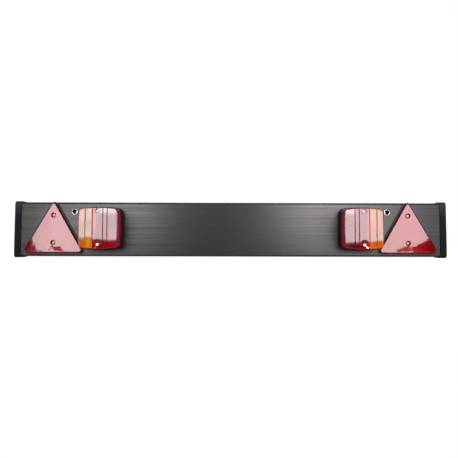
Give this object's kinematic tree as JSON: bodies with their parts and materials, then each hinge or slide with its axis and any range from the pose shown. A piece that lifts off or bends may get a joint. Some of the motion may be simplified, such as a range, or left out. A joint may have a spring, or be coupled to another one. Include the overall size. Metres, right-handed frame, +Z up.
{
  "type": "trailer lighting board",
  "caption": "Long hollow board with end caps that carries red triangular reflectors, red and amber rear lamps and metal eyelets for strapping it to the back of a trailer.",
  "frame": {"origin": "midway between the two eyelets, in the plane of the board's front face", "axes": "+X along the board to the right of someone who looks at the lamps, +Y from the front of the board to its rear, +Z up"},
  "size_m": [1.22, 0.0732, 0.159],
  "materials": {
    "board_pvc": "semi-gloss extruded black with fine lengthwise streaks",
    "cap_plastic": "matt moulded black",
    "black_plastic": "satin moulded black",
    "plated_metal": "bright nickel plate",
    "screw_steel": "bright zinc plate",
    "reflector_red": "glossy clear red over reflex prisms",
    "lens_red": "glossy clear red, fluted inside",
    "lens_amber": "glossy clear amber, fluted inside",
    "seal_rubber": "matt black",
    "bulb_glass": "clear glass",
    "contact_brass": "bright stamped strip"
  },
  "bodies": {
    "root": {"board": "board_pvc", "end_cap_left": "cap_plastic", "end_cap_right": "cap_plastic", "eyelets": "plated_metal", "eyelet_washers": "screw_steel", "reflector_back_left": "black_plastic", "reflector_back_right": "black_plastic", "reflector_lens_left": "reflector_red", "reflector_lens_right": "reflector_red", "reflector_screws": "reflector_red", "lamp_base_left": "black_plastic", "lamp_base_right": "black_plastic", "lamp_gasket_left": "seal_rubber", "lamp_gasket_right": "seal_rubber", "lens_red_left": "lens_red", "lens_red_right": "lens_red", "lens_amber_left": "lens_amber", "lens_amber_right": "lens_amber", "lens_screws": "screw_steel", "base_screws": "screw_steel", "indicator_bulbs": "bulb_glass", "stop_tail_bulbs": "bulb_glass", "fog_bulbs": "bulb_glass", "bulb_holders": "screw_steel", "contact_strips": "contact_brass", "wire_grommets": "seal_rubber", "cable_grommet": "seal_rubber"}
  },
  "joints": []
}
